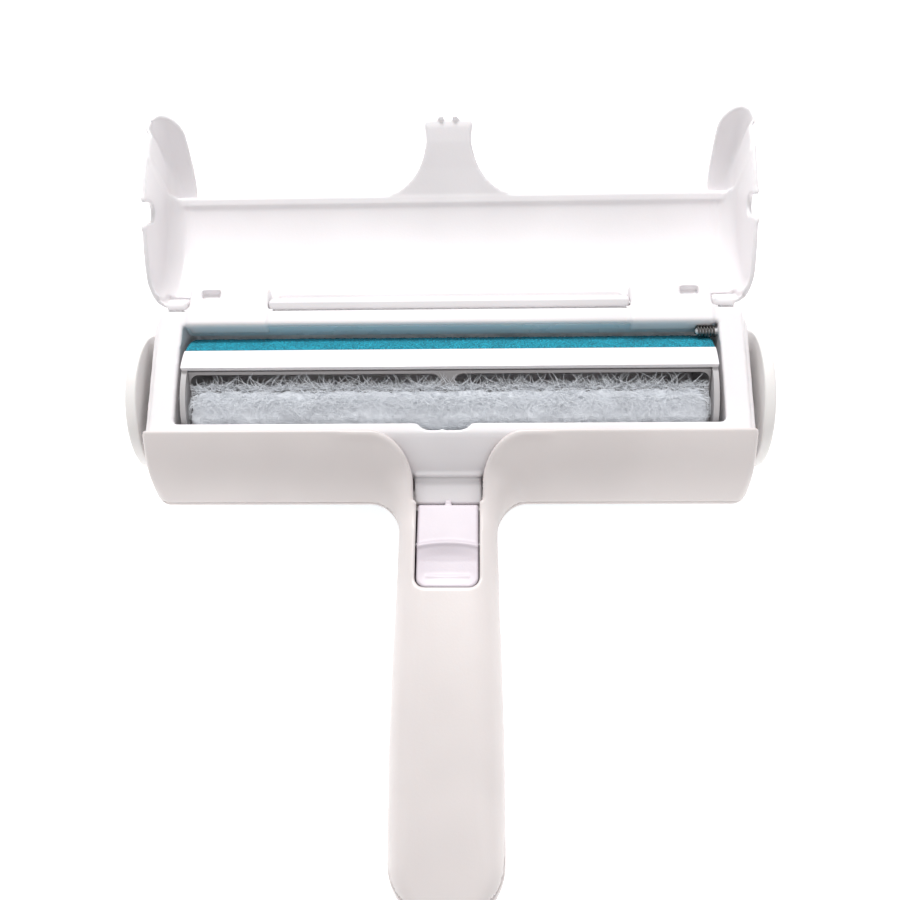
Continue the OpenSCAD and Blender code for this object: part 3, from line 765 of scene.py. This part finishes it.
def resting_hairs(rng, count, clump_seed):
    """Paths of hairs that lie on the lump, with short upright ones along its far edge."""
    outline = np.array(LUMP + LUMP[:1])
    legs = np.linalg.norm(np.diff(outline, axis=0), axis=1)
    reach = np.concatenate([[0], np.cumsum(legs)])
    upper = rng.uniform(reach[1] - 0.6, reach[6], count)
    far_edge = rng.random(count) < 0.6
    upper = np.where(far_edge, rng.uniform(reach[1] - 1.0, reach[3] + 1.5, count), upper)
    across = np.stack([np.interp(upper, reach, outline[:, i]) for i in range(2)], axis=1)
    outward = across - np.mean(LUMP, axis=0)
    outward /= np.linalg.norm(outward, axis=1, keepdims=True)
    along = np.stack([outward[:, 1], -outward[:, 0]], axis=1)
    start_x = rng.uniform(-76.5, 76.5, count)
    heading = rng.normal(0, 0.75, count)
    heading = np.where(upper < reach[2] + 1.5, rng.uniform(-1.5, 1.5, count), heading)
    size = np.exp(rng.normal(math.log(6.0), 0.45, count))
    size = np.where(upper < reach[2] + 1, size * 0.55, size)
    bow = rng.uniform(-1.5, 1.5, count)
    clump = waves(np.random.default_rng(clump_seed), 9, 5, 26)(start_x, 0 * start_x)
    lift = rng.uniform(-0.3, 0.35, count)
    lift = lift + 0.9 * rng.random(count) ** 3 * np.clip(1 + 0.6 * clump, 0.2, 2)
    rear = swell(upper - reach[1] - 1.2, 1.6)
    paths = np.zeros((count, HAIR_JOINTS, 3))
    for j in range(HAIR_JOINTS):
        t = j / (HAIR_JOINTS - 1) - 0.5
        turn = heading + bow * t
        dx, da = size * t * np.cos(turn), size * t * np.sin(turn)
        radial = lift + 0.45 * np.sin(3.1 * t + bow * 3) - (da * da) / 16
        radial = radial + rear * np.abs(t) * rng.uniform(0.2, 3.4, count)
        spot = across + along * da[:, None] + outward * radial[:, None]
        from_axis = np.linalg.norm(spot, axis=1, keepdims=True)
        paths[:, j, 0] = np.clip(start_x + dx, -HAIR_HALF, HAIR_HALF)
        paths[:, j, 1:] = spot * np.minimum(1, HAIR_R / from_axis)
    return paths


def stray_hairs(rng, count):
    """Paths of hairs that arch from the lump over the slots to the pocket's far edge."""
    base_x = rng.uniform(-72, 72, count)
    t = np.linspace(0, 1, HAIR_JOINTS)[None, :]
    lean = rng.normal(0, 3.2, count)[:, None]
    foot = np.array([4.2, 13.2])
    edge = np.array([17.6 * math.sin(math.radians(34.5)), 17.6 * math.cos(math.radians(34.5))])
    run = edge - foot
    span = rng.uniform(0.45, 1.0, count)[:, None]
    arch = np.sin(t * math.pi) * rng.uniform(0.2, 1.3, count)[:, None]
    normal = np.array([-run[1], run[0]]) / np.linalg.norm(run)
    paths = np.zeros((count, HAIR_JOINTS, 3))
    paths[:, :, 0] = base_x[:, None] + lean * t + 0.8 * np.sin(5 * t + lean)
    paths[:, :, 1:] = foot + run * (t * span)[..., None] + normal * (arch + 0.25)[..., None]
    return paths


def tubes(paths, radius):
    """Three-sided tubes along paths, thinner at both ends."""
    count, joints = paths.shape[:2]
    tangent = np.gradient(paths, axis=1)
    tangent /= np.maximum(np.linalg.norm(tangent, axis=2, keepdims=True), 1e-6)
    helper = np.array([0.123, 0.52, 0.84])
    first = np.cross(tangent, helper)
    first /= np.maximum(np.linalg.norm(first, axis=2, keepdims=True), 1e-6)
    second = np.cross(tangent, first)
    thick = radius * (1 - 0.72 * np.abs(np.linspace(-1, 1, joints)) ** 3)
    rings = []
    for k in range(3):
        a = 2 * math.pi * k / 3
        rings.append(paths + (first * math.cos(a) + second * math.sin(a)) * thick[None, :, None])
    points = np.stack(rings, axis=2).reshape(-1, 3)
    number = np.arange(count * joints * 3).reshape(count, joints, 3)
    near, far = number[:, :-1, :], number[:, 1:, :]
    corners = [near, np.roll(near, -1, axis=2), np.roll(far, -1, axis=2), far]
    quads = np.stack(corners, axis=-1).reshape(-1, 4)
    caps = [list(c) for c in number[:, 0, ::-1]] + [list(c) for c in number[:, -1, :]]
    return points, quads.tolist() + caps


def hair_strands(seed):
    """Fine loose hairs over the lump and across the slots."""
    sizes = bpy.context.scene.roller_sizes
    rng = np.random.default_rng(seed)
    paths = resting_hairs(rng, sizes.hair_count, seed + 1)
    astray = rng.random(sizes.hair_count) < 0.045
    paths[astray] = stray_hairs(rng, int(astray.sum()))
    points, faces = tubes(paths, sizes.hair_r)
    return swing(points, drum_turn()), faces


def disc_profile():
    """Half section of an end disc as (X, radius): rounded rim and a shallow ring-shaped dish."""
    back, face, r = DISC_FACE - DISC_T, DISC_FACE, DISC_R
    inner_edge = [
        (back + 0.5 - 0.5 * math.cos(a), r - 0.5 + 0.5 * math.sin(a))
        for a in np.radians([10, 30, 50, 70, 90])
    ]
    outer_edge = [
        (face - 1.0 + 1.0 * math.sin(a), r - 1.0 + 1.0 * math.cos(a))
        for a in np.radians([0, 12, 26, 40, 54, 68, 80, 90])
    ]
    dish = [(0, 16.0), (0.05, 15.7), (0.25, 15.45), (0.45, 15.2), (0.5, 14.9), (0.5, 7.4)]
    dish += [(0.45, 7.1), (0.2, 6.8), (0.04, 6.55), (0, 6.2), (0, 0.001)]
    sunk = [(face - depth, radius) for depth, radius in dish]
    return [(back, 0.001), (back, 4), (back, r - 0.9)] + inner_edge + outer_edge + sunk


# ---- operators ----


def finishes():
    """Every finish of the roller by name, made once."""
    colours = bpy.context.scene.roller_colours
    if "body plastic" not in bpy.data.materials:
        plastic("body plastic", colours.body, 0.36)
        plastic("frame plastic", colours.frame, 0.33)
        plastic("inner plastic", (0.62, 0.59, 0.58), 0.45)
        plastic("button plastic", colours.button, 0.5)
        plastic("disc plastic", colours.disc, 0.34)
        plastic("drum end plastic", (0.5, 0.485, 0.49), 0.5)
        # the web's dark grey is painted shade: it stands for the shade deep in the drum's pocket
        plastic("web plastic in painted shade", (0.42, 0.4, 0.405), 0.5)
        # the wiper's blue tint is a painted reflection of the teal pads
        film = plastic("wiper plastic with painted teal reflection", (0.72, 0.8, 0.85), 0.3)
        film.node_tree.nodes["Principled BSDF"].inputs["Subsurface Weight"].default_value = 0.5
        velour("pad fabric", colours.pad)
        fur("hair", colours.hair)
        metal("steel", (0.52, 0.53, 0.55), 0.3)
        metal("spring wire", (0.22, 0.21, 0.2), 0.38)
    return bpy.data.materials


class ROLLER_OT_handle(Operator):
    """Builds the two handle shells and the button with its works."""

    bl_idname = "roller.handle"
    bl_label = "Handle"

    def execute(self, context):
        made = finishes()
        upper = moulded("top_shell", top_shell, (-92, -153, -15), (92, -14, 19))
        stand_for(upper, "body", "body_plastic", made["body plastic"], "handle_top_shell")
        lower = moulded("bottom_shell", bottom_shell, (-92, -153, -23), (92, -14, -2))
        stand_for(lower, "body", "body_plastic", made["body plastic"], "handle_bottom_shell")
        button = moulded("button", release, (-10, -61, -6), (10, -32, 5), 0.3)
        stand_for(button, "button", "button_plastic", made["button plastic"], "release_button")
        dress("button_cradle", made["inner plastic"], 0.0002)
        for node in ("handle_screws", "frame_screws", "button_pin"):
            dress(node, made["steel"], 0.0001)
        dress("button_spring", made["spring wire"], 0)
        return {"FINISHED"}


class ROLLER_OT_chamber(Operator):
    """Builds the frame round the drum with its bushes, wipers and lid spring."""

    bl_idname = "roller.chamber"
    bl_label = "Chamber frame"

    def execute(self, context):
        made = finishes()
        piece = moulded("frame", chamber, (-89.5, -34, -9.5), (89.5, 31.5, 20.5), 0.78)
        stand_for(piece, "body", "frame_plastic", made["frame plastic"], "chamber_frame")
        for node in ("wiper_strip_far", "wiper_strip_near"):
            dress(node, made["wiper plastic with painted teal reflection"], 0.0002)
        for node in ("bush_left", "bush_right"):
            dress(node, made["inner plastic"], 0.0002)
        dress("hinge_pins", made["steel"], 0.0001)
        dress("lid_spring", made["spring wire"], 0)
        return {"FINISHED"}


class ROLLER_OT_lid(Operator):
    """Builds the lid, folded back about its hinge."""

    bl_idname = "roller.lid"
    bl_label = "Lid"

    def execute(self, context):
        made = finishes()
        piece = moulded("lid", open_lid, (-94, 17, 5), (94, 85, 41))
        stand_for(piece, "lid", "frame_plastic", made["frame plastic"], "lid_shell")
        return {"FINISHED"}


class ROLLER_OT_drum(Operator):
    """Builds the swinging drum with its pads, rails, discs and gathered hair."""

    bl_idname = "roller.drum"
    bl_label = "Drum"

    def execute(self, context):
        made = finishes()
        for name, side, seed in (("pad_far", 1, 3), ("pad_near", -1, 4)):
            piece = new_mesh(name, *pad_mesh(side, seed))
            stand_for(piece, "drum", "pad_fabric", made["pad fabric"], "lint_" + name)
        for name, side in (("disc_right", 1), ("disc_left", -1)):
            piece = new_mesh(name, *turned(disc_profile(), side))
            stand_for(piece, "drum", "disc_plastic", made["disc plastic"], "end_" + name)
        for node, bevel in (
            ("drum_shell", 0.00035),
            ("rail_far", 0.0006),
            ("rail_near", 0.0006),
            ("divider_strip", 0.0006),
        ):
            piece = dress(node, made["frame plastic"], bevel)
            piece.modifiers["eased edges"].segments = 4
        for node in ("drum_end_left", "drum_end_right"):
            dress(node, made["drum end plastic"], 0.0003)
        dress("drum_web", made["web plastic in painted shade"], 0.00025)
        for node in ("axle_left", "axle_right"):
            dress(node, made["steel"], 0.0003)
        lump = moulded("hair_lump", hair_lump, (-78.4, -19.5, 4), (78.4, 4, 18), 0.5)
        stand_for(lump, "drum", "hair", made["hair"], "hair_wad")
        strands = new_mesh("hair_strands", *hair_strands(11))
        stand_for(strands, "drum", "hair", made["hair"])
        return {"FINISHED"}


class ROLLER_OT_stage(Operator):
    """Adds a pale floor, soft light and the camera."""

    bl_idname = "roller.stage"
    bl_label = "Stage"

    def execute(self, context):
        scene = context.scene
        material, tree, bsdf = shader("backdrop")
        bsdf.inputs["Base Color"].default_value = (0.93, 0.93, 0.93, 1)
        bsdf.inputs["Roughness"].default_value = 0.9
        bsdf.inputs["Emission Color"].default_value = (1, 1, 1, 1)
        bsdf.inputs["Emission Strength"].default_value = 0.5
        mesh = bpy.data.meshes.new("floor")
        mesh.from_pydata([(-3, -3, 0), (3, -3, 0), (3, 3, 0), (-3, 3, 0)], [], [(0, 1, 2, 3)])
        mesh.materials.append(material)
        floor = bpy.data.objects.new("floor", mesh)
        scene.collection.objects.link(floor)

        world = bpy.data.worlds.new("studio")
        world.use_nodes = True
        background = world.node_tree.nodes["Background"]
        background.inputs["Color"].default_value = (1.0, 1.0, 1.0, 1)
        background.inputs["Strength"].default_value = 0.6
        scene.world = world
        for name, spot, size, power in (
            ("key", (-0.15, 1.0, 1.2), 0.55, 19.5),
            ("fill", (0.5, -0.9, 0.9), 0.9, 1.0),
        ):
            light = bpy.data.lights.new(name, "AREA")
            light.shape = "DISK"
            light.size = size
            light.energy = power
            lamp = bpy.data.objects.new(name, light)
            lamp.location = spot
            lamp.rotation_mode = "QUATERNION"
            lamp.rotation_quaternion = (AXIS - Vector(spot)).to_track_quat("-Z", "Y")
            scene.collection.objects.link(lamp)

        camera = bpy.data.cameras.new("camera")
        camera.lens = 39.39
        camera.sensor_width = 36
        camera.clip_start = 0.01
        eye = bpy.data.objects.new("camera", camera)
        pitch, yaw, roll = math.radians(68.6), math.radians(5.74), math.radians(-5.581)
        right = Vector((1, 0, 0))
        ahead = Vector((0, math.cos(pitch), -math.sin(pitch)))
        up = Vector((0, math.sin(pitch), math.cos(pitch)))
        turn = Matrix.Rotation(yaw, 3, "Z")
        right, ahead, up = turn @ right, turn @ ahead, turn @ up
        right, up = right * math.cos(roll) + up * math.sin(roll), up * math.cos(roll) - right * math.sin(roll)
        facing = Matrix((right, up, -ahead)).transposed()
        eye.matrix_world = Matrix.Translation(AXIS + Vector((11.34, -125.91, 280.11)) * MM) @ facing.to_4x4()
        scene.collection.objects.link(eye)
        scene.camera = eye
        scene.view_settings.view_transform = "Standard"
        return {"FINISHED"}


class ROLLER_PT_panel(Panel):
    """Sizes, colours and the build steps in the sidebar."""

    bl_label = "Lint roller"
    bl_space_type = "VIEW_3D"
    bl_region_type = "UI"
    bl_category = "Lint roller"

    def draw(self, context):
        layout = self.layout
        for group in (context.scene.roller_sizes, context.scene.roller_colours):
            for name in group.__annotations__:
                layout.prop(group, name)
        for step in STEPS:
            layout.operator(step.bl_idname)


STEPS = (ROLLER_OT_handle, ROLLER_OT_chamber, ROLLER_OT_lid, ROLLER_OT_drum, ROLLER_OT_stage)
CLASSES = (RollerSizes, RollerColours, *STEPS, ROLLER_PT_panel)


def register():
    for cls in CLASSES:
        bpy.utils.register_class(cls)
    bpy.types.Scene.roller_sizes = PointerProperty(type=RollerSizes)
    bpy.types.Scene.roller_colours = PointerProperty(type=RollerColours)


def unregister():
    del bpy.types.Scene.roller_colours
    del bpy.types.Scene.roller_sizes
    for cls in reversed(CLASSES):
        bpy.utils.unregister_class(cls)


def main():
    """Registers the add-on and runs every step."""
    register()
    roller = bpy.ops.roller
    for step in (roller.handle, roller.chamber, roller.lid, roller.drum, roller.stage):
        step()


if __name__ == "__main__":
    main()
